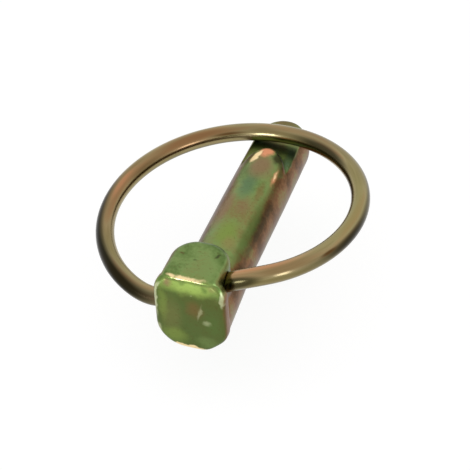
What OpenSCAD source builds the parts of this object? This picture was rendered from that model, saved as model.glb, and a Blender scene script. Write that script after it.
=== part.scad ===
// Linch pin: a forged pin with a square-shouldered head, and a sprung wire
// ring that swings in a slanted cross hole and snaps shut on a flat at the tip.
//
// Frame: +Y runs along the shank towards the tip, +Z points to the side that
// the ring closes on, +X is to the right. The origin is on the shank's axis,
// where the neck ends and the full-size round begins.

/* [Shank] */
// Diameter of the round shank
shank_d = 10; // [8:0.5:12]
// Length of the shank, from the end of the neck to the tip
shank_len = 35.5; // [30:0.5:44]
// Length of the full-size round, which bears in a hole
bearing_len = 18; // [14:0.25:18.25]
// Narrowing of the radius between there and the tip
lead_in = 0.1; // [0.05:0.01:0.3]
// Length over which the tip narrows
tip_len = 4.7; // [3:0.1:7]
// Diameter of the tip's blunt end
tip_d = 5.5; // [3:0.1:7]

/* [Ring seat] */
// Height of the flat above the shank's axis
flat_h = 2.95; // [2.4:0.05:3.6]
// Length of the flat, from the tip to the crown of its arched end
flat_len = 9.75; // [8:0.25:12]
// Length of the arched end, from its crown to where its sides run straight
arch_len = 7.25; // [5:0.25:9]
// Radius of the arch at its crown
crown_r = 2.25; // [1.7:0.05:2.6]
// Radius that rolls the arch's top edge over
crown_roll = 1.6; // [0.5:0.1:1.6]

/* [Head] */
// Width of the head's front plate
plate_w = 11.4; // [10.5:0.1:13]
// Thickness of the front plate
plate_t = 2; // [1.6:0.1:2.6]
// Step from the land down to the top of the plate's shoulders
plate_step = 0.3; // [0.1:0.05:1]
// Radius of the plate's two upper corners
plate_top_r = 3.4; // [1.5:0.1:4]
// Radius of the plate's two lower corners
plate_low_r = 4.6; // [2.5:0.05:5.2]
// Height of the head above the shank's axis
head_top = 9.5; // [9.3:0.1:12]
// Depth of the head below the shank's axis
head_low = 5.05; // [5.05:0.05:6]
// Length of the head, from its front face to the back of its land
head_len = 9.5; // [8:0.1:11]
// Radius that rounds the edge of the front face
head_round = 0.8; // [0.3:0.05:1.1]
// Width of the block behind the plate
block_w = 9.3; // [8.5:0.1:10]
// Radius that rounds the edge of the land, on top of the block
land_round = 1.5; // [0.5:0.05:1.7]
// Radius of the block's two far corners, seen from above
block_corner_r = 4.1; // [2:0.05:4.2]
// Radius of the block's two front corners
block_front_r = 1.8; // [1.75:0.05:2.2]
// Length of the neck that tapers from the front plate to the shank
neck_len = 11.8; // [8:0.1:14]
// Step from the plate's side in to the neck
neck_step = 0.05; // [0.02:0.01:0.3]

/* [Ring] */
// Diameter of the ring's wire
wire_d = 3; // [2:0.1:3.2]
// Radius of the ring, to the middle of its wire
ring_r = 20.5; // [18:0.1:26]
// Height that the wire climbs in one whole turn
ring_rise = 7.6; // [5:0.1:8.5]
// Sideways lean of the ring, right side up
ring_lean = 2; // [0:0.1:4]
// Sideways shift of the ring's centre
ring_shift = -1; // [-2:0.1:2]
// Angle that is formed round, before the ends bend into the hole
ring_turn = 270; // [250:1:290]
// Distance along the shank from the cross hole to the ring's centre
ring_reach = 17.9; // [17:0.1:20]

/* [Cross hole] */
// Distance from the front face to the middle of the cross hole
hole_back = 4.55; // [4.3:0.05:5.5]
// Height of the cross hole above the shank's axis, at its middle
hole_h = 3.7; // [3:0.05:4.2]
// Slope of the cross hole, right end up
hole_slope = 28; // [20:0.5:32]
// Clearance between the wire and the wall of its hole
hole_gap = 0.05; // [0.02:0.01:0.1]
// Gap between the two wire ends, inside the hole
end_gap = 1.5; // [0.5:0.1:4]
// Gap between the closed ring and the flat
seat_gap = 0.05; // [0.02:0.01:0.2]

/* [Hidden] */
$fn = 96;

shank_r = shank_d / 2;
wire_r = wire_d / 2;

// Stations along the shank
plate_back_y = -neck_len;
front_y = plate_back_y - plate_t;
land_y = front_y + head_len;
hole_y = front_y + hole_back;
crown_y = shank_len - flat_len;
arch_y = crown_y - arch_len;

// Half the width of the flat, and how far the arch's foot stands out past its
// edge, into the round
flat_half_w = sqrt(shank_r * shank_r - flat_h * flat_h);
foot_margin = 0.1;

// The closed ring leans to the left over the flat, so it bears on the flat's
// left edge. That sets the height of its middle.
seat_slope = ring_rise / (2 * PI * ring_r) + tan(ring_lean);
seat_z = flat_h + wire_r + seat_gap + seat_slope * (flat_half_w + ring_shift);

// How finely the ring is drawn: sections round the turn, sections in each
// end's bend, sides of each section, and how far those lie outside the wire
turn_rings = 72;
bend_rings = 8;
wire_sides = 24;
section_gap = 0.002;
// How far each bend holds its heading, as a share of its length
end_pull = 0.36;

// ---------- points and directions ----------

function unit(v) = v / norm(v);

// v turned about the Y axis, so that the ring's right side stands higher
function lean(v) = [
    v.x * cos(ring_lean) - v.z * sin(ring_lean),
    v.y,
    v.x * sin(ring_lean) + v.z * cos(ring_lean)
];

// The round part of the ring is one turn of a helix about the leaned Z axis.
// a is the angle from the ring's far side, positive to the right.
function turn_point(a) =
    [ring_shift, hole_y + ring_reach, seat_z]
    + lean([ring_r * sin(a), ring_r * cos(a), ring_rise * a / 360]);
function turn_heading(a) =
    unit(lean([ring_r * cos(a), -ring_r * sin(a), ring_rise / (2 * PI)]));

// The cross hole slopes up to the right, through the middle of the head.
hole_dir = [cos(hole_slope), 0, sin(hole_slope)];
function hole_point(x) = [x, hole_y, hole_h + x * tan(hole_slope)];

// Just outside the head, where the wire has left its hole
mouth_x = plate_w / 2 + 0.05;
// Straight wire that the swept part of the ring takes in at each end
overlap = 0.1;

function bezier(p, u) =
    pow(1 - u, 3) * p[0] + 3 * pow(1 - u, 2) * u * p[1]
    + 3 * (1 - u) * u * u * p[2] + pow(u, 3) * p[3];
function bezier_heading(p, u) =
    unit((1 - u) * (1 - u) * (p[1] - p[0]) + 2 * (1 - u) * u * (p[2] - p[1])
         + u * u * (p[3] - p[2]));

// The curve that brings one end of the ring into line with the cross hole.
// side is 1 on the right, -1 on the left.
function end_curve(side) =
    let (a = side * ring_turn / 2, p = turn_point(a), q = hole_point(side * mouth_x))
    let (pull = end_pull * norm(q - p))
    [p, p + side * pull * turn_heading(a), q + side * pull * hole_dir, q];

// A station is [point, heading], from the left end of the ring to the right.
function end_station(side, u) =
    [bezier(end_curve(side), u), side * bezier_heading(end_curve(side), u)];
function straight_station(side) =
    [hole_point(side * (mouth_x - overlap)), -hole_dir];
stations = [
    straight_station(-1),
    for (i = [bend_rings : -1 : 1]) end_station(-1, i / bend_rings),
    for (i = [0 : turn_rings])
        let (a = ring_turn * (i / turn_rings - 0.5))
        [turn_point(a), turn_heading(a)],
    for (i = [1 : bend_rings]) end_station(1, i / bend_rings),
    straight_station(1)
];

// ---------- building blocks ----------

// Half of a section, right of its axis: a bar of radius r, from the base up
// to the length, with its far edge rounded
module rounded_bar_section(r, length, edge_r) {
    square([r - edge_r, length]);
    square([r, length - edge_r]);
    translate([r - edge_r, length - edge_r])
        intersection() {
            circle(edge_r);
            square(edge_r);
        }
}

// A wall section as wide as w, up to the height, with both top edges rounded
module rounded_wall_section(w, height, edge_r) {
    for (side = [0, 1])
        mirror([side, 0])
            rounded_bar_section(w / 2, height, edge_r);
}

// A slab that stands on the XY plane, with its top edge rounded all round.
// Its plan runs from y0 to y1, w wide, with corner radii r0 and r1.
module soft_slab(w, y0, y1, r0, r1, height, edge_r) {
    for (side = [-1, 1]) {
        translate([side * (w / 2 - r0), y0 + r0])
            rotate_extrude()
                rounded_bar_section(r0, height, edge_r);
        translate([side * (w / 2 - r1), y1 - r1])
            rotate_extrude()
                rounded_bar_section(r1, height, edge_r);
    }
    // From side to side, between the corners
    translate([0, y1 - r1, 0])
        rotate([90, 0, 0])
            linear_extrude(y1 - r1 - y0 - r0)
                rounded_wall_section(w, height, edge_r);
    // From end to end, in two halves as wide as their corners leave
    middle = (y0 + r0 + y1 - r1) / 2;
    translate([-(w / 2 - r0), 0, 0])
        end_wall(w - 2 * r0, middle, y0, height, edge_r);
    translate([-(w / 2 - r1), 0, 0])
        end_wall(w - 2 * r1, middle, y1, height, edge_r);
}

// The part of a soft slab between two corners: from y_mid out to the rounded
// edge at y_end, and w along X
module end_wall(w, y_mid, y_end, height, edge_r) {
    translate([0, y_mid, 0])
        mirror([0, y_end < y_mid ? 1 : 0, 0])
            rotate([90, 0, 90])
                linear_extrude(w)
                    rounded_bar_section(abs(y_end - y_mid), height, edge_r);
}

// ---------- pin ----------

// The front plate, thickest and widest part of the head
module front_plate() {
    translate([0, front_y + plate_t, 0])
        rotate([90, 0, 0])
            soft_slab(plate_w, -head_low, head_top - plate_step, plate_low_r,
                      plate_top_r, plate_t, head_round);
}

// The block that holds the cross hole, topped by the D-shaped land
module block() {
    soft_slab(block_w, front_y, land_y, block_front_r, block_corner_r, head_top,
              land_round);
}

// The neck tapers from the plate to the shank, and starts inside the plate. It
// is as flat below as the plate.
module neck() {
    start_y = plate_back_y - plate_t / 2;
    intersection() {
        rotate([-90, 0, 0])
            translate([0, 0, start_y])
                cylinder(h = -start_y, r1 = plate_w / 2 - neck_step, r2 = shank_r);
        translate([-plate_w, start_y, -head_low])
            cube([2 * plate_w, -start_y, head_low + head_top]);
    }
}

// The round shank, from inside the plate to its blunt, bullet-shaped tip
module round_shank() {
    start_y = front_y + head_round;
    tip_y = shank_len - tip_len;
    tip_r = shank_r - lead_in;
    narrowing = tip_r - tip_d / 2;
    tip_arc_r = (tip_len * tip_len + narrowing * narrowing) / (2 * narrowing);
    rotate([-90, 0, 0])
        rotate_extrude() {
            polygon([[0, start_y], [shank_r, start_y], [shank_r, bearing_len],
                     [tip_r, tip_y], [0, tip_y]]);
            intersection() {
                translate([0, tip_y])
                    square([tip_r, tip_len]);
                translate([tip_r - tip_arc_r, tip_y])
                    circle(tip_arc_r);
            }
        }
}

// What the flat leaves of the shank's upper side: all of it up to arch_y, and
// then an arch of three arcs with its top edge rolled over. The crown's disc
// touches both side arcs from within.
module arch() {
    foot = flat_half_w + foot_margin;
    rise = arch_len - crown_r;
    side_r = (foot * foot + rise * rise - crown_r * crown_r)
             / (2 * (foot - crown_r));
    // Direction from each side arc's centre to the crown's centre, in which the
    // arc and the crown meet
    meet = [side_r - foot, rise] / (side_r - crown_r);
    // Far enough to take in the whole arch
    reach = arch_len + shank_d;

    translate([-shank_r, front_y + head_round, 0])
        cube([2 * shank_r, arch_y - front_y - head_round, shank_r]);
    difference() {
        intersection() {
            rolled_disc(side_r, side_r - foot, arch_y);
            rolled_disc(side_r, foot - side_r, arch_y);
            translate([-reach, arch_y - crown_r, 0])
                cube([2 * reach, reach, shank_r]);
        }
        // The wedge that only the crown fills
        translate([0, crown_y - crown_r, 0])
            linear_extrude(2 * shank_d, center = true)
                polygon([[0, 0], reach * [meet.x, meet.y], reach * [-meet.x, meet.y]]);
    }
    rolled_disc(crown_r, 0, crown_y - crown_r);
}

// A disc as thick as the shank's upper half, its top edge rolled over, with its
// middle at x and y
module rolled_disc(r, x, y) {
    translate([x, y, 0])
        rotate_extrude()
            rounded_bar_section(r, shank_r, crown_roll);
}

module cross_hole() {
    length = (plate_w + shank_d) / cos(hole_slope);
    translate(hole_point(0))
        rotate([0, 90 - hole_slope, 0])
            cylinder(h = length, r = wire_r + hole_gap, center = true);
}

module pin() {
    color("olivedrab")
        difference() {
            union() {
                front_plate();
                block();
                neck();
                intersection() {
                    round_shank();
                    union() {
                        translate([-shank_d, front_y, -shank_d])
                            cube([2 * shank_d, shank_len + shank_d - front_y,
                                  shank_d + flat_h]);
                        arch();
                    }
                }
            }
            cross_hole();
        }
}

// ---------- ring ----------

// Sweeps a round wire along the stations, closed at both ends. The flats of
// its section lie just outside the wire's true radius, by the section gap.
module swept_wire(r, stations, sides) {
    count = len(stations);
    corner_r = (r + section_gap) / cos(180 / sides);
    points = [
        for (station = stations)
            let (out = unit(cross(station[1], [0, 0, 1])))
            let (up = cross(out, station[1]))
            for (k = [0 : sides - 1])
                let (a = 360 * (k + 0.5) / sides)
                station[0] + corner_r * (cos(a) * out + sin(a) * up)
    ];
    walls = [
        for (i = [0 : count - 2], k = [0 : sides - 1])
            let (here = i * sides, next = (k + 1) % sides)
            [here + k, here + next, here + sides + next, here + sides + k]
    ];
    first_cap = [for (k = [sides - 1 : -1 : 0]) k];
    last_cap = [for (k = [0 : sides - 1]) (count - 1) * sides + k];
    polyhedron(points, concat(walls, [first_cap, last_cap]), convexity = 8);
}

// The straight end of the wire, turned true to run in the cross hole
module wire_end(side) {
    translate(hole_point(side * end_gap / 2))
        rotate([0, side * 90 - hole_slope, 0])
            cylinder(h = (mouth_x - end_gap / 2) / cos(hole_slope), r = wire_r);
}

module ring() {
    color("darkkhaki") {
        swept_wire(wire_r, stations, wire_sides);
        wire_end(1);
        wire_end(-1);
    }
}

pin();
ring();
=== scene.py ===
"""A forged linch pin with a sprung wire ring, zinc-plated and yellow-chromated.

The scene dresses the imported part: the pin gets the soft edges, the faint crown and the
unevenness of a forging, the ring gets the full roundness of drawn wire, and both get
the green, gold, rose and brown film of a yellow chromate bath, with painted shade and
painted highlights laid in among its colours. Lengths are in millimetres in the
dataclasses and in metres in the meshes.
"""

import logging
import math
from dataclasses import dataclass, field
from enum import Enum
from typing import Any

import bmesh
import bpy
import numpy as np
from mathutils import Matrix


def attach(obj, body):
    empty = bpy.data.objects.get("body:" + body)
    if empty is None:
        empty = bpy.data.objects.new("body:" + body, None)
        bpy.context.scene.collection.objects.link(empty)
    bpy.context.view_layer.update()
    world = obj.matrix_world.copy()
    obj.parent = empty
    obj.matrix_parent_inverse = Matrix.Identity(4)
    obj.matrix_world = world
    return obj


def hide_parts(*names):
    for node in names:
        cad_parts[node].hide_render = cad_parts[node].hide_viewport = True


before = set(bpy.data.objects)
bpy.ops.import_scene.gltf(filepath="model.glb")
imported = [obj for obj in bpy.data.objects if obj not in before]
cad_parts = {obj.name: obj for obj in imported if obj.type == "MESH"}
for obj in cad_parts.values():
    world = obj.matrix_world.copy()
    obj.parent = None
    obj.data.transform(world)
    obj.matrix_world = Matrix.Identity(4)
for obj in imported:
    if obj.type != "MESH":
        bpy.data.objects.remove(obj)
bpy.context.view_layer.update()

MM = 0.001
LOG = logging.getLogger("linch_pin")

Vector3 = tuple[float, float, float]


# ---------------------------------------------------------------- colours and nodes


def srgb(code: str, alpha: float = 1.0) -> tuple[float, float, float, float]:
    """Turns an sRGB hex colour into Blender's linear colour.

    Each channel c is c / 12.92 below 0.04045, and ((c + 0.055) / 1.055) to the power
    2.4 above it.

    Args:
        code: Six hex digits, with or without a leading #.
        alpha: The fourth value of the result.

    Returns:
        Linear red, green and blue, and alpha.
    """
    digits = code.lstrip("#")
    channels = [int(digits[i : i + 2], 16) / 255 for i in (0, 2, 4)]
    linear = [
        c / 12.92 if c <= 0.04045 else ((c + 0.055) / 1.055) ** 2.4 for c in channels
    ]
    return (linear[0], linear[1], linear[2], alpha)


def add_node(
    tree: bpy.types.NodeTree,
    kind: str,
    settings: dict[str, Any] | None = None,
    **inputs: Any,
) -> bpy.types.Node:
    """Adds one shader node, with its settings, its values and its links.

    Args:
        tree: The node tree that gets the node.
        kind: The node's Blender type.
        settings: Attributes of the node, such as its operation. "stops" sets a colour
            ramp's places and hex colours.
        **inputs: What each input gets: a value, a socket, or a node whose first output
            it reads. A name has underscores for spaces, and _0, _1 and so on stand for
            inputs by their place.

    Returns:
        The new node.
    """
    node = tree.nodes.new(kind)
    for name, value in (settings or {}).items():
        if name == "stops":
            elements = node.color_ramp.elements
            while len(elements) < len(value):
                elements.new(1.0)
            for element, (place, colour) in zip(elements, value):
                element.position, element.color = place, srgb(colour)
        else:
            setattr(node, name, value)
    for name, value in inputs.items():
        place = name.strip("_")
        socket = (
            node.inputs[int(place)]
            if place.isdigit()
            else node.inputs[name.replace("_", " ")]
        )
        if isinstance(value, bpy.types.Node):
            value = value.outputs[0]
        if isinstance(value, bpy.types.NodeSocket):
            tree.links.new(value, socket)
        else:
            socket.default_value = value
    return node


# ---------------------------------------------------------------- meshes


def mesh_from_grid(
    name: str, points: np.ndarray, closed_around: bool
) -> bpy.types.Mesh:
    """Puts a grid of points into a mesh.

    Face (i, k) joins points (i, k), (i, k + 1), (i + 1, k + 1) and (i + 1, k), and
    points where the direction of k crossed with that of i does. Where the grid is
    closed around, k runs round to 0 again, and one face closes each end.

    Args:
        name: Name of the mesh.
        points: Rows by columns by 3 array of places in metres.
        closed_around: Whether each row is a closed ring.

    Returns:
        The mesh, smooth-shaded.
    """
    rows, columns = points.shape[:2]
    i = np.arange(rows - 1)[:, None]
    k = np.arange(columns if closed_around else columns - 1)[None, :]
    after = (k + 1) % columns
    quads = np.stack(
        [
            i * columns + k,
            i * columns + after,
            (i + 1) * columns + after,
            (i + 1) * columns + k,
        ],
        axis=-1,
    ).reshape(-1, 4)
    faces = quads.tolist()
    if closed_around:
        faces.append(list(range(columns - 1, -1, -1)))
        faces.append([(rows - 1) * columns + c for c in range(columns)])
    mesh = bpy.data.meshes.new(name)
    mesh.from_pydata(points.reshape(-1, 3).tolist(), [], faces)
    mesh.polygons.foreach_set("use_smooth", [True] * len(faces))
    mesh.update()
    return mesh


def new_object(name: str, data: Any) -> bpy.types.Object:
    """Links a new object at the origin that holds the mesh, lamp or camera."""
    made = bpy.data.objects.new(name, data)
    bpy.context.scene.collection.objects.link(made)
    return made


def smooth_step(values: np.ndarray, start: float, end: float) -> np.ndarray:
    """Runs softly from 0 at start to 1 at end: 3 t squared less 2 t cubed."""
    t = np.clip((values - start) / (end - start), 0.0, 1.0)
    return t * t * (3.0 - 2.0 * t)


# ---------------------------------------------------------------- finishes


class FilmAndPaintedLight(Enum):
    """The colours of a yellow chromate film on zinc, and of the painted light laid with
    them.

    A chromate film is a fraction of a micrometre thick, so it colours the metal by
    interference, and one bath leaves many colours on one piece: here greens where it
    is thinner, rose and brown where it is thicker. Dark, black, olive and some brown
    are painted shade: down the flanks, under and beside the wire, in creases and over
    the front face. Cream and peach are painted highlights, light green partly so.
    Bare zinc is where handling has worn it, and painted highlights on the plate's rim.
    The last five show only in the grounds, and in no patch.
    """

    BARE_ZINC_AND_HIGHLIGHT = "D9DCAE"
    DEEP_GREEN = "566E36"
    TEAL = "5A7654"
    GREEN = "7A9054"
    YELLOW_GREEN = "7C8E44"
    LIGHT_GREEN_HIGHLIGHT = "9CB45A"
    GOLD = "8C8450"
    TAN = "886E50"
    ROSE = "7E5836"
    BROWN = "563A1C"
    OLIVE_SHADE = "4E5C2C"
    DARK_AND_SHADE = "33301A"
    BLACK_SHADE = "1A180C"
    PEACH_HIGHLIGHT = "DE946C"
    CREAM_HIGHLIGHT = "FFE2AC"
    MOSS = "80804C"
    UMBER = "74683F"
    KHAKI = "8A7E56"
    SAND = "9C8F68"
    COPPER = "A0825C"


@dataclass(frozen=True)
class StainAndPaintedLight:
    """A patch of another colour than round it. Some are stains and wear in the film,
    others are painted shade and painted highlights.

    Attributes:
        middle: Its middle, in millimetres.
        reach: How far it goes along each of its own axes, in millimetres.
        colour: The colour there.
        amount: How much of that colour its middle shows.
        turn: How it is turned about X, Y and Z, in degrees.
        edge: The share of its reach over which it fades.
    """

    middle: Vector3
    reach: Vector3
    colour: FilmAndPaintedLight
    amount: float
    turn: Vector3 = (0.0, 0.0, 0.0)
    edge: float = 0.8


def lay_stains_and_painted_light(
    tree: bpy.types.NodeTree,
    place: bpy.types.Node,
    colour: bpy.types.Node,
    stains_and_painted_light: tuple[StainAndPaintedLight, ...],
) -> bpy.types.Node:
    """Lays patches over a colour, each over the last: stains, wear, painted shade and
    painted highlights.

    A patch's share is its amount times a soft step of one less the distance from its
    middle, which is measured in its own turned axes and in units of its reach.

    Args:
        tree: The material's node tree.
        place: Node whose first output is the place, in metres.
        colour: Node whose first output is the colour under the stains.
        stains_and_painted_light: The patches.

    Returns:
        The node that holds the patched colour in its output "Result", or the colour
        as it was where there are no patches.
    """
    for patch in stains_and_painted_light:
        own = add_node(
            tree,
            "ShaderNodeMapping",
            {"vector_type": "TEXTURE"},
            Vector=place,
            Location=[value * MM for value in patch.middle],
            Rotation=[math.radians(value) for value in patch.turn],
            Scale=[value * MM for value in patch.reach],
        )
        near = add_node(
            tree, "ShaderNodeTexGradient", {"gradient_type": "SPHERICAL"}, Vector=own
        )
        share = add_node(
            tree,
            "ShaderNodeMapRange",
            {"interpolation_type": "SMOOTHSTEP"},
            Value=near.outputs["Fac"],
            From_Min=0.0,
            From_Max=patch.edge,
            To_Min=0.0,
            To_Max=patch.amount,
        )
        colour = add_node(
            tree,
            "ShaderNodeMixRGB",
            _0=share,
            _1=colour,
            _2=srgb(patch.colour.value),
        )
    return colour


def film_and_shade_ground(
    tree: bpy.types.NodeTree,
    shares: tuple[tuple[bpy.types.NodeSocket, float, float, float, float], ...],
    film: tuple[tuple[float, FilmAndPaintedLight], ...],
) -> bpy.types.Node:
    """Colours a film by its thickness, which is a sum of shares. Shares that follow the
    surface's facing paint shade into it.

    A share runs softly from low to high as its source goes from start to end.

    Args:
        tree: The material's node tree.
        shares: The source, start, end, low and high of each share.
        film: The thickness and the colour at each stop of the ramp.

    Returns:
        The ramp's node, whose first output is the colour.
    """
    thickness: Any = 0.0
    for source, start, end, low, high in shares:
        share = add_node(
            tree,
            "ShaderNodeMapRange",
            {"interpolation_type": "SMOOTHSTEP"},
            Value=source,
            From_Min=start,
            From_Max=end,
            To_Min=low,
            To_Max=high,
        )
        thickness = add_node(
            tree, "ShaderNodeMath", {"operation": "ADD"}, _0=thickness, _1=share
        )
    stops = [(place, colour.value) for place, colour in film]
    return add_node(tree, "ShaderNodeValToRGB", {"stops": stops}, Fac=thickness)


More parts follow.
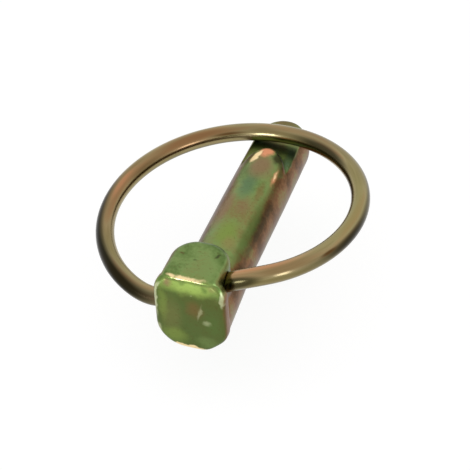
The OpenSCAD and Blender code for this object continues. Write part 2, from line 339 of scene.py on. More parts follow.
# Where the forging's colour differs from its ground, by stains and wear and by painted
# shade and highlights: down the shank from the head to the tip, then the land, the
# front face and the walls of the head.
PIN_STAINS_AND_PAINTED_LIGHT = (
    # Shank
    # Painted shade: brown down the whole left flank.
    StainAndPaintedLight((-4.4, 8.0, 2.4), (2.2, 27.0, 3.0), FilmAndPaintedLight.BROWN, 0.88),
    StainAndPaintedLight((-3.8, 2.0, 3.4), (1.3, 5.0, 1.9), FilmAndPaintedLight.BROWN, 0.8),
    StainAndPaintedLight((-2.3, 8.5, 4.4), (1.7, 6.5, 1.6), FilmAndPaintedLight.TAN, 0.85),
    StainAndPaintedLight((0.2, 2.6, 5.0), (2.6, 4.4, 2.5), FilmAndPaintedLight.YELLOW_GREEN, 0.9),
    StainAndPaintedLight((1.3, 0.6, 4.8), (1.4, 2.2, 1.4), FilmAndPaintedLight.GOLD, 0.75),
    StainAndPaintedLight((0.7, 9.6, 5.0), (1.8, 3.2, 1.4), FilmAndPaintedLight.TAN, 0.5),
    StainAndPaintedLight((-0.3, 14.6, 5.0), (2.0, 4.8, 1.5), FilmAndPaintedLight.TEAL, 0.75),
    StainAndPaintedLight((2.0, 13.6, 4.5), (1.0, 4.5, 1.2), FilmAndPaintedLight.ROSE, 0.5),
    # Painted shade: a dark green band along the right shoulder, and a dark line below
    # it.
    StainAndPaintedLight((3.2, 5.5, 3.8), (1.2, 13.5, 1.5), FilmAndPaintedLight.DEEP_GREEN, 0.8),
    StainAndPaintedLight((4.2, 6.0, 2.8), (0.7, 13.0, 1.1), FilmAndPaintedLight.DARK_AND_SHADE, 0.6),
    StainAndPaintedLight((0.2, 20.0, 5.0), (3.0, 4.6, 1.8), FilmAndPaintedLight.TAN, 0.9),
    StainAndPaintedLight((-2.7, 23.6, 4.2), (1.2, 3.8, 1.8), FilmAndPaintedLight.BROWN, 0.85),
    StainAndPaintedLight((0.0, 33.5, 0.5), (6.5, 3.6, 6.0), FilmAndPaintedLight.TAN, 0.75),
    StainAndPaintedLight((0.0, 35.5, 1.0), (6.0, 3.0, 6.0), FilmAndPaintedLight.BROWN, 0.5),
    # Painted shade along the lower left and lower right flanks.
    StainAndPaintedLight((-5.2, 10.0, 1.2), (1.7, 34.0, 4.0), FilmAndPaintedLight.DARK_AND_SHADE, 0.65),
    StainAndPaintedLight((5.4, 12.0, -1.5), (1.8, 34.0, 3.8), FilmAndPaintedLight.BROWN, 0.7),
    # Ring seat: painted shadow in the crease, round the nose and under the ring, painted
    # highlights on the nose, and the teal flat
    StainAndPaintedLight((2.6, 22.4, 3.3), (0.8, 4.6, 1.0), FilmAndPaintedLight.DARK_AND_SHADE, 0.85),
    StainAndPaintedLight((0.3, 26.1, 3.2), (2.0, 0.9, 1.2), FilmAndPaintedLight.DARK_AND_SHADE, 0.5),
    StainAndPaintedLight((3.4, 25.0, 2.9), (1.4, 5.0, 0.6), FilmAndPaintedLight.TEAL, 0.9),
    StainAndPaintedLight((2.2, 23.5, 4.4), (1.3, 2.7, 1.3), FilmAndPaintedLight.DARK_AND_SHADE, 0.9, edge=0.6),
    # Painted highlights: peach and cream on the nose's top and left side, and a streak
    # on the arch's right edge.
    StainAndPaintedLight((-0.1, 24.0, 4.8), (1.6, 1.8, 1.4), FilmAndPaintedLight.PEACH_HIGHLIGHT, 0.97, edge=0.6),
    StainAndPaintedLight((-1.45, 22.4, 4.8), (0.7, 2.1, 1.0), FilmAndPaintedLight.CREAM_HIGHLIGHT, 1.0, (0, 0, -20), 0.5),
    StainAndPaintedLight((2.95, 18.6, 4.0), (0.5, 2.6, 0.6), FilmAndPaintedLight.PEACH_HIGHLIGHT, 0.9),
    StainAndPaintedLight((2.95, 18.9, 4.1), (0.25, 1.5, 0.4), FilmAndPaintedLight.CREAM_HIGHLIGHT, 0.9),
    # Land
    StainAndPaintedLight((-4.2, -8.6, 9.2), (0.9, 4.5, 0.8), FilmAndPaintedLight.BROWN, 0.55),
    StainAndPaintedLight((2.6, -10.2, 9.5), (2.6, 3.2, 0.8), FilmAndPaintedLight.GREEN, 0.6),
    StainAndPaintedLight((2.7, -7.7, 9.4), (0.35, 0.8, 0.4), FilmAndPaintedLight.DARK_AND_SHADE, 0.7, (0.0, 0.0, -30.0)),
    StainAndPaintedLight((-2.7, -8.3, 9.5), (0.7, 0.4, 0.4), FilmAndPaintedLight.BROWN, 0.7),
    StainAndPaintedLight((-0.2, -9.4, 9.5), (0.5, 0.3, 0.3), FilmAndPaintedLight.DARK_AND_SHADE, 0.5),
    StainAndPaintedLight((2.3, -4.6, 8.6), (2.2, 0.8, 1.2), FilmAndPaintedLight.BROWN, 0.6),
    # Front face
    # Painted shade: the whole front face darker olive than the land.
    StainAndPaintedLight((0.0, -14.8, 2.0), (12.0, 2.4, 14.0), FilmAndPaintedLight.OLIVE_SHADE, 0.85, edge=0.35),
    # Painted highlight, beside the crown's own: a light green band across the top of the
    # face.
    StainAndPaintedLight((0.0, -13.6, 7.8), (7.0, 1.2, 2.2), FilmAndPaintedLight.LIGHT_GREEN_HIGHLIGHT, 0.9),
    StainAndPaintedLight((3.9, -13.5, 8.0), (1.3, 1.0, 0.9), FilmAndPaintedLight.GOLD, 0.5),
    StainAndPaintedLight((-1.1, -13.5, 8.1), (1.0, 0.8, 0.5), FilmAndPaintedLight.DEEP_GREEN, 0.6),
    StainAndPaintedLight((2.5, -13.5, 7.7), (0.7, 0.8, 0.8), FilmAndPaintedLight.DEEP_GREEN, 0.6),
    # Painted highlight: a cream line along the face's top edge.
    StainAndPaintedLight((-1.2, -13.5, 9.25), (5.6, 0.8, 0.42), FilmAndPaintedLight.CREAM_HIGHLIGHT, 0.9, edge=0.5),
    StainAndPaintedLight((-3.3, -13.6, 7.8), (1.2, 0.8, 1.0), FilmAndPaintedLight.TAN, 0.8),
    StainAndPaintedLight((-3.0, -13.8, 1.6), (2.6, 0.8, 5.0), FilmAndPaintedLight.GOLD, 0.3),
    StainAndPaintedLight((0.9, -13.8, 3.6), (2.0, 0.8, 2.4), FilmAndPaintedLight.ROSE, 0.45),
    StainAndPaintedLight((3.6, -13.8, 1.2), (1.8, 0.8, 3.6), FilmAndPaintedLight.DEEP_GREEN, 0.45),
    StainAndPaintedLight((-2.6, -13.8, -2.4), (2.9, 0.8, 2.4), FilmAndPaintedLight.YELLOW_GREEN, 0.7),
    StainAndPaintedLight((-4.2, -13.8, 3.6), (1.1, 0.8, 4.6), FilmAndPaintedLight.YELLOW_GREEN, 0.6),
    StainAndPaintedLight((2.6, -13.8, -2.8), (2.4, 0.8, 1.6), FilmAndPaintedLight.GREEN, 0.4),
    StainAndPaintedLight((0.4, -13.8, 6.1), (0.5, 0.3, 0.3), FilmAndPaintedLight.BARE_ZINC_AND_HIGHLIGHT, 0.9, edge=0.5),
    StainAndPaintedLight((-0.4, -13.8, 6.4), (0.4, 0.3, 0.25), FilmAndPaintedLight.BARE_ZINC_AND_HIGHLIGHT, 0.9, edge=0.5),
    StainAndPaintedLight((1.8, -13.8, 3.4), (0.35, 0.3, 2.4), FilmAndPaintedLight.BARE_ZINC_AND_HIGHLIGHT, 0.3, (0, 14, 0)),
    StainAndPaintedLight((2.8, -13.8, 1.3), (1.0, 0.3, 0.7), FilmAndPaintedLight.BARE_ZINC_AND_HIGHLIGHT, 0.3),
    # Rim of the front plate: pale worn zinc and painted highlights along its rounded
    # edges
    StainAndPaintedLight((-5.35, -13.6, 4.4), (0.45, 0.8, 4.6), FilmAndPaintedLight.BARE_ZINC_AND_HIGHLIGHT, 0.6, edge=0.7),
    StainAndPaintedLight((-5.2, -13.5, -2.0), (0.8, 0.8, 1.8), FilmAndPaintedLight.BARE_ZINC_AND_HIGHLIGHT, 0.4, edge=0.5),
    StainAndPaintedLight((-5.0, -13.6, 6.9), (0.5, 0.6, 1.5), FilmAndPaintedLight.BARE_ZINC_AND_HIGHLIGHT, 0.6, (0, 20, 0), 0.7),
    # Painted highlight: a cream line along the plate's bottom edge.
    StainAndPaintedLight((-0.6, -13.7, -4.4), (3.4, 0.6, 0.6), FilmAndPaintedLight.CREAM_HIGHLIGHT, 0.85, edge=0.4),
    StainAndPaintedLight((5.3, -13.4, 6.8), (0.5, 0.6, 2.4), FilmAndPaintedLight.BARE_ZINC_AND_HIGHLIGHT, 0.5, edge=0.5),
    # Walls of the head: deep green on the right wall, partly painted shade, and painted
    # shade below where the wire goes in
    StainAndPaintedLight((4.7, -8.4, 6.4), (1.0, 4.4, 3.6), FilmAndPaintedLight.DEEP_GREEN, 0.95),
    StainAndPaintedLight((5.6, -8.8, 5.0), (1.6, 3.0, 2.4), FilmAndPaintedLight.DARK_AND_SHADE, 0.55),
    StainAndPaintedLight((5.6, -12.4, 2.6), (0.8, 1.6, 6.5), FilmAndPaintedLight.ROSE, 0.7),
)


@dataclass(frozen=True)
class YellowChromatedForging:
    """Zinc-plated, yellow-chromated forged steel: a satin metal under a patchy film.

    The bright zinc gives it a metal's reflections, the forging skin blurs them, and
    the film tints them green on the upper faces and rose to brown down the sides,
    which is partly painted shade.

    Attributes:
        name: The material's name.
        film: Its ground's colours, from thin film to thick.
        stains_and_painted_light: Where its colour differs from the ground.
        roughness: How far the forging skin blurs a reflection.
        patch_scale: Noise scale of the broad patches, some 6 mm across.
        mottle_scale: Noise scale of the mottling, 0.5 mm across.
        wander_scale: Noise scale of the wandering of the patches' edges.
        wander: How far they wander at most, in millimetres.
        pit_scale: Noise scale of the dark pits, 0.3 mm across.
        pit_share: How much of the dark colour a pit's middle shows.
        grain: Strength of the grain.
        grain_height: Its height, in millimetres.
    """

    name: str = "zinc_plated_yellow_chromated_forged_steel"
    film: tuple[tuple[float, FilmAndPaintedLight], ...] = (
        (0.0, FilmAndPaintedLight.DEEP_GREEN),
        (0.3, FilmAndPaintedLight.GREEN),
        (0.55, FilmAndPaintedLight.MOSS),
        (0.8, FilmAndPaintedLight.ROSE),
        (1.0, FilmAndPaintedLight.BROWN),
    )
    stains_and_painted_light: tuple[StainAndPaintedLight, ...] = PIN_STAINS_AND_PAINTED_LIGHT
    roughness: float = 0.34
    patch_scale: float = 165.0
    mottle_scale: float = 2000.0
    wander_scale: float = 700.0
    wander: float = 0.55
    pit_scale: float = 2600.0
    pit_share: float = 0.3
    grain: float = 0.35
    grain_height: float = 0.03

    def build(self) -> bpy.types.Material:
        """Makes the material.

        The film's thickness is a sum: what it is down the sides, partly painted shade,
        broad patches, and mottling. The patches of stain, wear, painted shade and
        painted highlight lie on its ramp of colours, and the pits on them.

        Returns:
            The material.
        """
        material = bpy.data.materials.new(self.name)
        material.use_nodes = True
        tree = material.node_tree
        tree.nodes.clear()
        coords = add_node(tree, "ShaderNodeTexCoord")
        place, facing = coords.outputs["Object"], coords.outputs["Normal"]
        patches = add_node(
            tree,
            "ShaderNodeTexNoise",
            Vector=place,
            Scale=self.patch_scale,
            Detail=2.0,
        )
        mottling = add_node(
            tree,
            "ShaderNodeTexNoise",
            Vector=place,
            Scale=self.mottle_scale,
            Detail=3.0,
        )
        axes = add_node(tree, "ShaderNodeSeparateXYZ", Vector=facing)
        heights = add_node(tree, "ShaderNodeSeparateXYZ", Vector=place)
        # Each share of the thickness: what it follows, from where to where, and what
        # it adds. The film is thick down both sides of the shank, and thin above; the
        # rose and brown down the sides is partly painted shade.
        shares = (
            (axes.outputs["X"], 0.45, 0.85, 0.0, 0.5),
            (axes.outputs["X"], -0.4, -0.85, 0.0, 0.55),
            (heights.outputs["Z"], 0.0058, 0.0072, 0.12, -0.08),
            (patches.outputs["Fac"], 0.3, 0.7, 0.0, 0.48),
            (mottling.outputs["Fac"], 0.3, 0.7, -0.06, 0.06),
        )
        ground = film_and_shade_ground(tree, shares, self.film)
        # The noise's 0 to 1 is moved to run from one side to the other.
        noise = add_node(
            tree,
            "ShaderNodeTexNoise",
            Vector=place,
            Scale=self.wander_scale,
            Detail=3.0,
        )
        offset = add_node(
            tree,
            "ShaderNodeVectorMath",
            {"operation": "MULTIPLY_ADD"},
            _0=noise.outputs["Color"],
            _1=[2 * self.wander * MM] * 3,
            _2=[-self.wander * MM] * 3,
        )
        wandered = add_node(
            tree, "ShaderNodeVectorMath", {"operation": "ADD"}, _0=place, _1=offset
        )
        colour = lay_stains_and_painted_light(tree, wandered, ground, self.stains_and_painted_light)
        # Pits, where the film has gone dark
        pits = add_node(
            tree, "ShaderNodeTexNoise", Vector=place, Scale=self.pit_scale, Detail=1.0
        )
        pitted = add_node(
            tree,
            "ShaderNodeMapRange",
            {"interpolation_type": "SMOOTHSTEP"},
            Value=pits.outputs["Fac"],
            From_Min=0.58,
            From_Max=0.78,
            To_Min=0.0,
            To_Max=self.pit_share,
        )
        specked = add_node(
            tree, "ShaderNodeMixRGB", _0=pitted, _1=colour, _2=srgb(FilmAndPaintedLight.BROWN.value)
        )
        grain = add_node(
            tree,
            "ShaderNodeBump",
            Strength=self.grain,
            Distance=self.grain_height * MM,
            Height=mottling.outputs["Fac"],
        )
        shader = add_node(
            tree,
            "ShaderNodeBsdfPrincipled",
            Base_Color=specked,
            Metallic=1.0,
            Roughness=self.roughness,
            Normal=grain,
        )
        add_node(tree, "ShaderNodeOutputMaterial", Surface=shader)
        return material


# Where the wire's colour differs from its ground, by stains and by painted shade and
# highlights, on the straight wire: the length from its left end, then how far in towards
# the ring's middle, then how far up.
WIRE_STAINS_AND_PAINTED_LIGHT = (
    # The underside, darkened as painted shade
    StainAndPaintedLight((70.0, 0.0, -1.9), (200.0, 2.8, 2.1), FilmAndPaintedLight.DARK_AND_SHADE, 0.7, edge=0.5),
    # Left side, then round the back: painted shade down its outer left, on the inner
    # back and along the outer edge, and a painted highlight on top
    StainAndPaintedLight((33.0, 0.3, 1.3), (16.0, 1.9, 1.9), FilmAndPaintedLight.ROSE, 0.5),
    StainAndPaintedLight((35.0, 0.3, 1.4), (6.0, 0.6, 0.8), FilmAndPaintedLight.PEACH_HIGHLIGHT, 0.3),
    StainAndPaintedLight((41.0, 1.1, 0.8), (7.0, 0.7, 0.9), FilmAndPaintedLight.BROWN, 0.6),
    StainAndPaintedLight((50.0, 0.7, 1.2), (12.0, 1.5, 1.5), FilmAndPaintedLight.ROSE, 0.75),
    StainAndPaintedLight((17.0, -1.3, 0.7), (18.0, 1.8, 2.5), FilmAndPaintedLight.BLACK_SHADE, 0.97, edge=0.65),
    StainAndPaintedLight((29.0, -1.3, 0.7), (13.0, 1.7, 2.3), FilmAndPaintedLight.BLACK_SHADE, 0.92, edge=0.65),
    StainAndPaintedLight((62.0, 0.8, 1.2), (13.0, 1.1, 1.1), FilmAndPaintedLight.BROWN, 0.35),
    StainAndPaintedLight((57.5, 1.15, 0.8), (4.5, 0.4, 0.4), FilmAndPaintedLight.BROWN, 0.9),
    StainAndPaintedLight((77.0, 1.1, 0.75), (11.0, 1.1, 1.1), FilmAndPaintedLight.BLACK_SHADE, 0.85, edge=0.7),
    StainAndPaintedLight((74.0, -0.2, 1.5), (10.0, 1.2, 1.0), FilmAndPaintedLight.BROWN, 0.3),
    StainAndPaintedLight((68.0, -1.4, 0.9), (34.0, 0.8, 1.1), FilmAndPaintedLight.DARK_AND_SHADE, 0.7, edge=0.6),
    # Right side, then the front: painted shade on its inner and outer edges, and a
    # painted highlight on top
    StainAndPaintedLight((97.0, 0.3, 1.2), (17.0, 1.8, 1.6), FilmAndPaintedLight.GOLD, 0.7),
    StainAndPaintedLight((98.0, -1.5, 0.5), (18.0, 0.9, 1.5), FilmAndPaintedLight.DARK_AND_SHADE, 0.7, edge=0.6),
    StainAndPaintedLight((119.0, 0.2, 1.5), (12.0, 0.9, 0.8), FilmAndPaintedLight.PEACH_HIGHLIGHT, 0.45),
    StainAndPaintedLight((89.0, 1.45, 0.35), (11.0, 0.9, 0.9), FilmAndPaintedLight.BLACK_SHADE, 0.8),
    StainAndPaintedLight((101.5, -1.4, 0.3), (9.0, 0.8, 1.4), FilmAndPaintedLight.BLACK_SHADE, 0.85),
    StainAndPaintedLight((114.0, -0.8, 1.2), (10.0, 1.1, 1.1), FilmAndPaintedLight.ROSE, 0.5),
    StainAndPaintedLight((107.0, -1.2, 0.9), (2.2, 0.35, 0.4), FilmAndPaintedLight.BROWN, 0.9),
    StainAndPaintedLight((121.5, -1.3, 0.5), (4.6, 0.8, 1.3), FilmAndPaintedLight.DARK_AND_SHADE, 0.85, edge=0.5),
)


@dataclass(frozen=True)
class YellowChromatedWire:
    """Zinc-plated, yellow-chromated spring wire: drawn, so glossier than the forging.

    Its film is thicker than the pin's: khaki to copper above. Below and down the
    left it is darkened by painted shade.

    Attributes:
        name: The material's name.
        film: Its ground's colours, from thin film to thick.
        stains_and_painted_light: Where its colour differs from the ground.
        roughness: How far the drawn skin blurs a reflection.
        band_scale: Noise scale of the film's bands, some 1.5 mm wide.
        band_stretch: Its share along the wire, which makes them run for 15 mm.
        mark_scale: Noise scale of the drawing marks, 0.2 mm wide.
        mark_stretch: Its share along the wire, which makes them run for 5 mm.
        scratch: Strength of the drawing marks' relief.
        scratch_depth: Its depth, in millimetres.
    """

    name: str = "zinc_plated_yellow_chromated_spring_wire"
    film: tuple[tuple[float, FilmAndPaintedLight], ...] = (
        (0.0, FilmAndPaintedLight.UMBER),
        (0.35, FilmAndPaintedLight.KHAKI),
        (0.65, FilmAndPaintedLight.SAND),
        (1.0, FilmAndPaintedLight.COPPER),
    )
    stains_and_painted_light: tuple[StainAndPaintedLight, ...] = WIRE_STAINS_AND_PAINTED_LIGHT
    roughness: float = 0.21
    band_scale: float = 650.0
    band_stretch: float = 0.1
    mark_scale: float = 4500.0
    mark_stretch: float = 0.04
    scratch: float = 0.2
    scratch_depth: float = 0.02

    def build(self) -> bpy.types.Material:
        """Makes the material, whose patterns follow the wire.

        The attribute "drawn" holds the place on the straight wire, in metres, so that
        drawing marks run along it. The film's thickness is a sum: more on what faces
        up than on what faces down, which paints the underside in shade, the bands, and a
        little of the marks.

        Returns:
            The material.
        """
        material = bpy.data.materials.new(self.name)
        material.use_nodes = True
        tree = material.node_tree
        tree.nodes.clear()
        coords = add_node(tree, "ShaderNodeTexCoord")
        axes = add_node(tree, "ShaderNodeSeparateXYZ", Vector=coords.outputs["Normal"])
        drawn = add_node(tree, "ShaderNodeAttribute", {"attribute_name": "drawn"})
        bands, marks = (
            add_node(
                tree,
                "ShaderNodeTexNoise",
                Vector=add_node(
                    tree,
                    "ShaderNodeMapping",
                    Vector=drawn.outputs["Vector"],
                    Scale=(stretch, 1.0, 1.0),
                ),
                Scale=scale,
                Detail=2.0,
            )
            for stretch, scale in (
                (self.band_stretch, self.band_scale),
                (self.mark_stretch, self.mark_scale),
            )
        )
        # Less thickness on what faces down, so a darker colour there: painted shade on
        # the underside.
        shares = (
            (axes.outputs["Z"], -0.8, 0.8, 0.0, 0.3),
            (bands.outputs["Fac"], 0.3, 0.7, 0.0, 0.7),
            (marks.outputs["Fac"], 0.3, 0.7, -0.06, 0.06),
        )
        ground = film_and_shade_ground(tree, shares, self.film)
        colour = lay_stains_and_painted_light(tree, drawn.outputs["Vector"], ground, self.stains_and_painted_light)
        scratches = add_node(
            tree,
            "ShaderNodeBump",
            Strength=self.scratch,
            Distance=self.scratch_depth * MM,
            Height=marks.outputs["Fac"],
        )
        shader = add_node(
            tree,
            "ShaderNodeBsdfPrincipled",
            Base_Color=colour,
            Metallic=1.0,
            Roughness=self.roughness,
            Normal=scratches,
        )
        add_node(tree, "ShaderNodeOutputMaterial", Surface=shader)
        return material


# ---------------------------------------------------------------- pieces


@dataclass
class ForgedPin:
    """The pin: head, neck and shank as one forging, with the hole and the flat cut.

    Attributes:
        finish: What covers it.
        voxel: Cell size of its skin, in millimetres.
        weld: How close the solid's points lie to be merged.
        smoothing_rounds: How many times the skin is smoothed.
        smoothing: The share of the way to its neighbours' middle that each round
            moves a point.
        unevenness: Deepest hollow of the forging's skin, in millimetres.
        front_y: Place of the front face.
        front_band: How far behind it the crown begins, and is whole.
        crown_z: Height at which the front face starts to lean back.
        crown_top: Height at which a groove ends the lean.
        crown_depth: How far it has leant back there.
        crown_power: How late it leans: 1 would be a straight slope.
        ridge_z: Height of the ridge above the groove.
        ridge_rise: How far the ridge stands out from the groove.
        worn_corner: Middle of the plate's lower right corner.
        worn_depth: How far that corner is pushed in.
        worn_reach: How far round its middle.
    """

    finish: YellowChromatedForging = field(default_factory=YellowChromatedForging)
    voxel: float = 0.16
    weld: float = 0.001
    smoothing_rounds: int = 8
    smoothing: float = 0.5
    unevenness: float = 0.03
    front_y: float = -13.8
    front_band: tuple[float, float] = (1.2, 0.2)
    crown_z: float = 4.2
    crown_top: float = 8.3
    crown_depth: float = 0.55
    crown_power: float = 1.7
    ridge_z: float = 8.95
    ridge_rise: float = 0.3
    worn_corner: Vector3 = (4.6, -12.8, -4.2)
    worn_depth: float = 0.4
    worn_reach: float = 3.2

    def skin(self, solid: bpy.types.Object) -> bpy.types.Mesh:
        """Wraps the solid in a fine even mesh whose edges are softly rounded.

        A grid or a swept profile can't give the blends where the plate, the block,
        the neck and the cut flat run into each other, so the skin is a voxel remesh
        of the merged solid, smoothed a few rounds.

        Args:
            solid: The CAD node.

        Returns:
            The skin as a new mesh.
        """
        merged = solid.data.copy()
        work = bmesh.new()
        work.from_mesh(merged)
        bmesh.ops.remove_doubles(work, verts=work.verts, dist=self.weld * MM)
        work.to_mesh(merged)
        work.free()
        holder = new_object("pin_blank", merged)
        remesh = holder.modifiers.new("skin", "REMESH")
        remesh.mode = "VOXEL"
        remesh.voxel_size = self.voxel * MM
        remesh.use_smooth_shade = True
        soften = holder.modifiers.new("soften", "SMOOTH")
        soften.factor = self.smoothing
        soften.iterations = self.smoothing_rounds
        graph = bpy.context.evaluated_depsgraph_get()
        skin = bpy.data.meshes.new_from_object(holder.evaluated_get(graph))
        bpy.data.objects.remove(holder)
        bpy.data.meshes.remove(merged)
        return skin

    def work_surface(self, skin: bpy.types.Mesh) -> None:
        """Gives the skin the marks of forging and wear, all of them inwards.

        The unevenness is half its depth times one plus the mean of three products of
        sines of the place, with waves of 3 to 7 mm. The front face leans back from
        crown_z to the groove at crown_top by crown_depth times the share of the way to
        the power crown_power, and comes out again by ridge_rise times a soft step up
        to the ridge. The worn corner moves towards the pin's axis by worn_depth times
        a soft step of the distance from its middle.

        Args:
            skin: The mesh to change.
        """
        count = len(skin.vertices)
        places = np.empty(count * 3, np.float32)
        normals = np.empty(count * 3, np.float32)
        skin.vertices.foreach_get("co", places)
        skin.vertex_normals.foreach_get("vector", normals)
        places = places.reshape(-1, 3) / MM
        normals = normals.reshape(-1, 3)
        x, y, z = places.T
        wave = (
            np.sin(0.9 * x + 1.3 * y + 0.4) * np.sin(1.1 * z - 0.7 * y)
            + np.sin(1.9 * x - 0.8 * z + 1.1) * np.sin(0.95 * y + 2.0)
            + np.sin(1.4 * z + 0.6 * x) * np.sin(2.1 * y - 1.2 * x)
        ) / 3
        lean = np.clip((z - self.crown_z) / (self.crown_top - self.crown_z), 0, 1)
        ridge = smooth_step(z, self.crown_top, self.ridge_z)
        begins, whole = self.front_band
        front = smooth_step(y, self.front_y + begins, self.front_y + whole)
        leant = self.crown_depth * lean**self.crown_power
        crown = (leant - self.ridge_rise * ridge) * front
        from_corner = np.linalg.norm(places - np.array(self.worn_corner), axis=1)
        wear = self.worn_depth * smooth_step(from_corner, self.worn_reach, 0.0)
        places -= normals * (self.unevenness * 0.5 * (1 + wave))[:, None]
        places[:, 1] += crown
        inwards = -np.array(self.worn_corner) * (1, 0, 1)
        places += wear[:, None] * inwards / np.linalg.norm(inwards)
        skin.vertices.foreach_set("co", (places * MM).astype(np.float32).ravel())
        skin.update()

    def build(self) -> bpy.types.Object:
        """Makes the dressed pin in place of the CAD node.

        Returns:
            The pin's object.
        """
        skin = self.skin(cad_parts["pin"])
        self.work_surface(skin)
        skin.name = "forged_pin"
        pin = new_object("forged_pin", skin)
        skin.materials.clear()
        skin.materials.append(self.finish.build())
        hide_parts("pin")
        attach(pin, "pin")
        return pin


@dataclass
class WireRing:
    """The sprung ring: one turn of wire whose ends bend into the slanted cross hole.

    Attributes:
        finish: What covers it.
        wire_d: Diameter of the wire, in millimetres, as the other lengths are.
        ring_r: Radius of the ring, to the middle of its wire.
        rise: Height that the wire climbs in one whole turn.
        lean_deg: Sideways lean of the ring, right side up.
        shift: Sideways place of the ring's centre.
        turn_deg: Angle that is formed round, before the ends bend into the hole.
        centre_y: Place of the ring's centre along the shank.
        seat_z: Height of the ring's centre.
        hole_y: Place of the cross hole along the shank.
        hole_h: Height of the cross hole at its middle.
        hole_slope_deg: Slope of the cross hole, right end up.
        mouth_x: Where the wire leaves the head.
        end_gap: Gap between the two wire ends, inside the hole.
        pull_share: How far each bend holds its heading, as a share of its length.
        around: Points round the wire.
        turn_steps: Sections along the round part.
        bend_steps: Sections along each bend.
        hole_steps: Sections along each straight end.
    """

    finish: YellowChromatedWire = field(default_factory=YellowChromatedWire)
    wire_d: float = 2.99
    ring_r: float = 20.5
    rise: float = 7.6
    lean_deg: float = 2.0
    shift: float = -1.0
    turn_deg: float = 270.0
    centre_y: float = 8.65
    seat_z: float = 4.7849
    hole_y: float = -9.25
    hole_h: float = 3.7
    hole_slope_deg: float = 28.0
    mouth_x: float = 5.75
    end_gap: float = 1.5
    pull_share: float = 0.36
    around: int = 40
    turn_steps: int = 300
    bend_steps: int = 40
    hole_steps: int = 11

    def lean(self, points: np.ndarray) -> np.ndarray:
        """Turns points about the Y axis, right side up."""
        a = math.radians(self.lean_deg)
        turn = np.array(
            [[math.cos(a), 0, -math.sin(a)], [0, 1, 0], [math.sin(a), 0, math.cos(a)]]
        )
        return points @ turn.T

    def turn_points(self, angle: np.ndarray) -> np.ndarray:
        """Places on the round part: a helix about the leaned Z axis, in millimetres."""
        flat = np.stack(
            [
                self.ring_r * np.sin(angle),
                self.ring_r * np.cos(angle),
                self.rise * angle / (2 * math.pi),
            ],
            axis=-1,
        )
        return self.lean(flat) + [self.shift, self.centre_y, self.seat_z]

    def turn_headings(self, angle: np.ndarray) -> np.ndarray:
        """Unit headings on the round part: the helix's slope along the angle."""
        flat = np.stack(
            [
                self.ring_r * np.cos(angle),
                -self.ring_r * np.sin(angle),
                np.full_like(angle, self.rise / (2 * math.pi)),
            ],
            axis=-1,
        )
        headings = self.lean(flat)
        return headings / np.linalg.norm(headings, axis=-1, keepdims=True)

    def hole_points(self, x: np.ndarray) -> np.ndarray:
        """Places on the cross hole's axis, at the given x."""
        slope = math.tan(math.radians(self.hole_slope_deg))
        return np.stack(
            [x, np.full_like(x, self.hole_y), self.hole_h + slope * x], axis=-1
        )

    def bend(self, side: int) -> np.ndarray:
        """The cubic Bezier curve that leads one end of the ring into its hole.

        Args:
            side: 1 for the right end, -1 for the left one.

        Returns:
            Places from the round part to the mouth of the hole, without its first.
        """
        slope = math.radians(self.hole_slope_deg)
        into = np.array([math.cos(slope), 0, math.sin(slope)])
        angle = np.array([side * math.radians(self.turn_deg) / 2])
        start = self.turn_points(angle)[0]
        end = self.hole_points(np.array([side * self.mouth_x]))[0]
        pull = side * self.pull_share * np.linalg.norm(end - start)
        leaving = self.turn_headings(angle)[0]
        handles = [start, start + pull * leaving, end + pull * into, end]
        u = np.linspace(0, 1, self.bend_steps + 1)[1:, None]
        shares = [(1 - u) ** 3, 3 * (1 - u) ** 2 * u, 3 * (1 - u) * u**2, u**3]
        return sum(share * handle for share, handle in zip(shares, handles))

    def path(self) -> np.ndarray:
        """The wire's middle line from its left end to its right end, in millimetres."""
        half = math.radians(self.turn_deg) / 2
        inside = np.linspace(self.end_gap / 2, self.mouth_x, self.hole_steps + 1)[:-1]
        return np.concatenate(
            [
                self.hole_points(-inside),
                self.bend(-1)[::-1],
                self.turn_points(np.linspace(-half, half, self.turn_steps + 1)),
                self.bend(1),
                self.hole_points(inside[::-1]),
            ]
        )

    def wire_mesh(self) -> bpy.types.Mesh:
        """Carries the wire's round section along the path.

        A section point is the path point plus the radius times cos(a) of the side
        direction and sin(a) of the upward one, both square to the heading. Unrolled,
        it lies at the length along the path, and at the radius times cos(a) and
        sin(a).

        Returns:
            The mesh, with the attribute "drawn" that holds the unrolled places.
        """
        path = self.path()
        radius = self.wire_d / 2
        heading = np.gradient(path, axis=0)
        heading /= np.linalg.norm(heading, axis=1, keepdims=True)
        steps = np.linalg.norm(np.diff(path, axis=0), axis=1)
        length = np.concatenate([[0], np.cumsum(steps)])
        side = np.cross(heading, [0, 0, 1])
        side /= np.linalg.norm(side, axis=1, keepdims=True)
        up = np.cross(side, heading)
        # Backwards round the wire, so that the faces point outwards
        angle = -np.arange(self.around) * 2 * math.pi / self.around
        across, above = radius * np.cos(angle), radius * np.sin(angle)
        points = (
            path[:, None, :]
            + across[None, :, None] * side[:, None, :]
            + above[None, :, None] * up[:, None, :]
        )
        mesh = mesh_from_grid("wire_ring", points * MM, True)
        shape = (len(path), self.around)
        drawn = np.stack(
            [
                np.broadcast_to(length[:, None], shape),
                np.broadcast_to(across[None, :], shape),
                np.broadcast_to(above[None, :], shape),
            ],
            axis=-1,
        )
        attribute = mesh.attributes.new("drawn", "FLOAT_VECTOR", "POINT")
        attribute.data.foreach_set("vector", (drawn * MM).ravel().astype(np.float32))
        return mesh

    def build(self) -> bpy.types.Object:
        """Makes the dressed ring in place of the CAD node.

        Returns:
            The ring's object.
        """
        ring = new_object("wire_ring", self.wire_mesh())
        ring.data.materials.append(self.finish.build())
        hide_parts("ring")
        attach(ring, "ring")
        return ring


# ---------------------------------------------------------------- studio


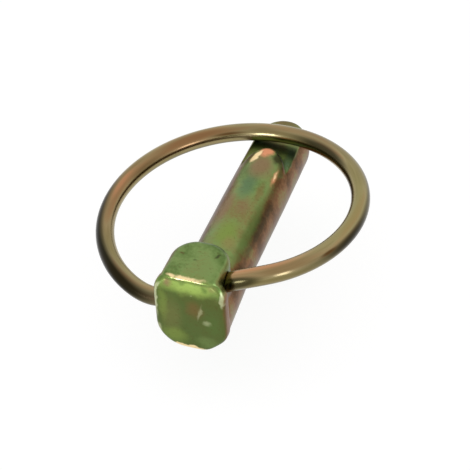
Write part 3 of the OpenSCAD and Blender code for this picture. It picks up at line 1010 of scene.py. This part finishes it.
def seen_directly(tree: bpy.types.NodeTree) -> bpy.types.Node:
    """Tells rays that show the background from those that light a matt surface.

    Args:
        tree: The node tree.

    Returns:
        A node that is 1 for camera, glossy and transmission rays and 0 for the rest.
    """
    rays = add_node(tree, "ShaderNodeLightPath")
    shown = add_node(
        tree,
        "ShaderNodeMath",
        {"operation": "MAXIMUM"},
        _0=rays.outputs["Is Camera Ray"],
        _1=rays.outputs["Is Glossy Ray"],
    )
    return add_node(
        tree,
        "ShaderNodeMath",
        {"operation": "MAXIMUM"},
        _0=shown,
        _1=rays.outputs["Is Transmission Ray"],
    )


# What the lamps look at, near the ring's middle, in millimetres
LIT_SPOT = (0.0, 8.0, 2.0)


@dataclass(frozen=True)
class Softbox:
    """A rectangular lamp that faces the pin.

    Attributes:
        name: Its name.
        place: Its middle, in millimetres.
        size: Its width and height, in millimetres.
        power: Its power in watts.
        colour: Colour of its light.
    """

    name: str
    place: Vector3
    size: tuple[float, float]
    power: float
    colour: str = "E0E6FF"

    def hang(self) -> None:
        """Hangs the lamp, turned so that its face looks at the pin."""
        light = bpy.data.lights.new(self.name, "AREA")
        light.shape = "RECTANGLE"
        light.size, light.size_y = self.size[0] * MM, self.size[1] * MM
        light.energy = self.power
        light.color = srgb(self.colour)[:3]
        holder = new_object(self.name, light)
        spot = np.array(self.place) * MM
        back = spot - np.array(LIT_SPOT) * MM
        back /= np.linalg.norm(back)
        across = np.cross([0, 0, 1], back)
        across /= np.linalg.norm(across)
        rise = np.cross(back, across)
        turn = np.stack([across, rise, back, spot], axis=1)
        holder.visible_camera = False
        holder.matrix_world = Matrix([*turn.tolist(), [0, 0, 0, 1]])


@dataclass
class Studio:
    """Floor, lamps, surroundings and camera.

    Attributes:
        floor_size: Side of the square floor, in metres.
        floor_z: Its height, in millimetres: clear of the ring wherever it swings.
        camera_place: Place of the camera, in millimetres.
        camera_right: Its three axes.
        camera_up: As above.
        camera_back: As above.
        lens: Its focal length.
        sensor: Width of its sensor.
        clip: Nearest and furthest place that it sees, in metres.
        glow: Brightness that the floor shows by itself, where it is seen.
        pale: How much light it throws back on top of that, which keeps the shadow.
        board: The floor's colour to all other rays.
        room: Brightness of the surroundings to all other rays.
        room_tint: Their colour.
        softboxes: The lamps.
    """

    floor_size: float = 6.0
    floor_z: float = -14.8
    camera_place: Vector3 = (65.66797, -161.11085, 158.03216)
    camera_right: Vector3 = (0.94438162, 0.32555365, -0.04645624)
    camera_up: Vector3 = (-0.18126962, 0.63321012, 0.7524535)
    camera_back: Vector3 = (0.27438054, -0.70218215, 0.65700498)
    lens: float = 114.8936
    sensor: float = 36.0
    clip: tuple[float, float] = (0.01, 20.0)
    glow: float = 0.8
    pale: float = 0.28
    board: str = "D0D0D0"
    room: float = 0.75
    room_tint: Vector3 = (1.0, 0.99, 0.96)
    softboxes: tuple[Softbox, ...] = (
        Softbox("front_softbox", (-125, -380, 50), (130, 110), 0.55),
        Softbox("right_softbox", (315, -245, 90), (120, 150), 0.27),
    )

    def floor(self) -> None:
        """Lays the floor: white where it is seen, in the metal too, under a shadow."""
        far, level = self.floor_size / 2, self.floor_z * MM
        corners = np.array(
            [
                [[-far, far, level], [-far, -far, level]],
                [[far, far, level], [far, -far, level]],
            ]
        )
        mesh = mesh_from_grid("floor", corners, False)
        floor = new_object("floor", mesh)
        material = bpy.data.materials.new("matt_white_board")
        material.use_nodes = True
        tree = material.node_tree
        tree.nodes.clear()
        seen = seen_directly(tree)
        board = add_node(tree, "ShaderNodeBsdfDiffuse", Color=srgb(self.board))
        glow = add_node(
            tree, "ShaderNodeEmission", Color=(1, 1, 1, 1), Strength=self.glow
        )
        pale = add_node(tree, "ShaderNodeBsdfDiffuse", Color=(*[self.pale] * 3, 1))
        white = add_node(tree, "ShaderNodeAddShader", _0=glow, _1=pale)
        mix = add_node(tree, "ShaderNodeMixShader", _0=seen, _1=board, _2=white)
        add_node(tree, "ShaderNodeOutputMaterial", Surface=mix)
        mesh.materials.append(material)

    def surroundings(self) -> None:
        """Sets the world: an even white where it is seen, in the metal too."""
        world = bpy.data.worlds.new("studio")
        bpy.context.scene.world = world
        world.use_nodes = True
        tree = world.node_tree
        tree.nodes.clear()
        seen = seen_directly(tree)
        room = add_node(
            tree,
            "ShaderNodeBackground",
            Color=(*self.room_tint, 1),
            Strength=self.room,
        )
        white = add_node(
            tree, "ShaderNodeBackground", Color=(1, 1, 1, 1), Strength=1.0
        )
        mix = add_node(tree, "ShaderNodeMixShader", _0=seen, _1=room, _2=white)
        add_node(tree, "ShaderNodeOutputWorld", Surface=mix)

    def camera(self) -> None:
        """Sets up the camera at the object's three-quarter view from above."""
        data = bpy.data.cameras.new("camera")
        data.lens, data.sensor_width = self.lens, self.sensor
        data.clip_start, data.clip_end = self.clip
        holder = new_object("camera", data)
        columns = [self.camera_right, self.camera_up, self.camera_back]
        spot = np.array(self.camera_place) * MM
        turn = np.stack([*map(np.array, columns), spot], axis=1)
        holder.matrix_world = Matrix([*turn.tolist(), [0, 0, 0, 1]])
        bpy.context.scene.camera = holder

    def build(self) -> None:
        """Builds the whole studio."""
        bpy.context.scene.view_settings.view_transform = "Standard"
        self.floor()
        self.surroundings()
        for softbox in self.softboxes:
            softbox.hang()
        self.camera()


def main() -> None:
    """Builds the studio, the pin and the ring."""
    logging.basicConfig(level=logging.INFO, format="%(name)s: %(message)s")
    Studio().build()
    for piece in (ForgedPin().build(), WireRing().build()):
        LOG.info(
            "%s: %d vertices, %d faces",
            piece.name,
            len(piece.data.vertices),
            len(piece.data.polygons),
        )


if __name__ == "__main__":
    main()
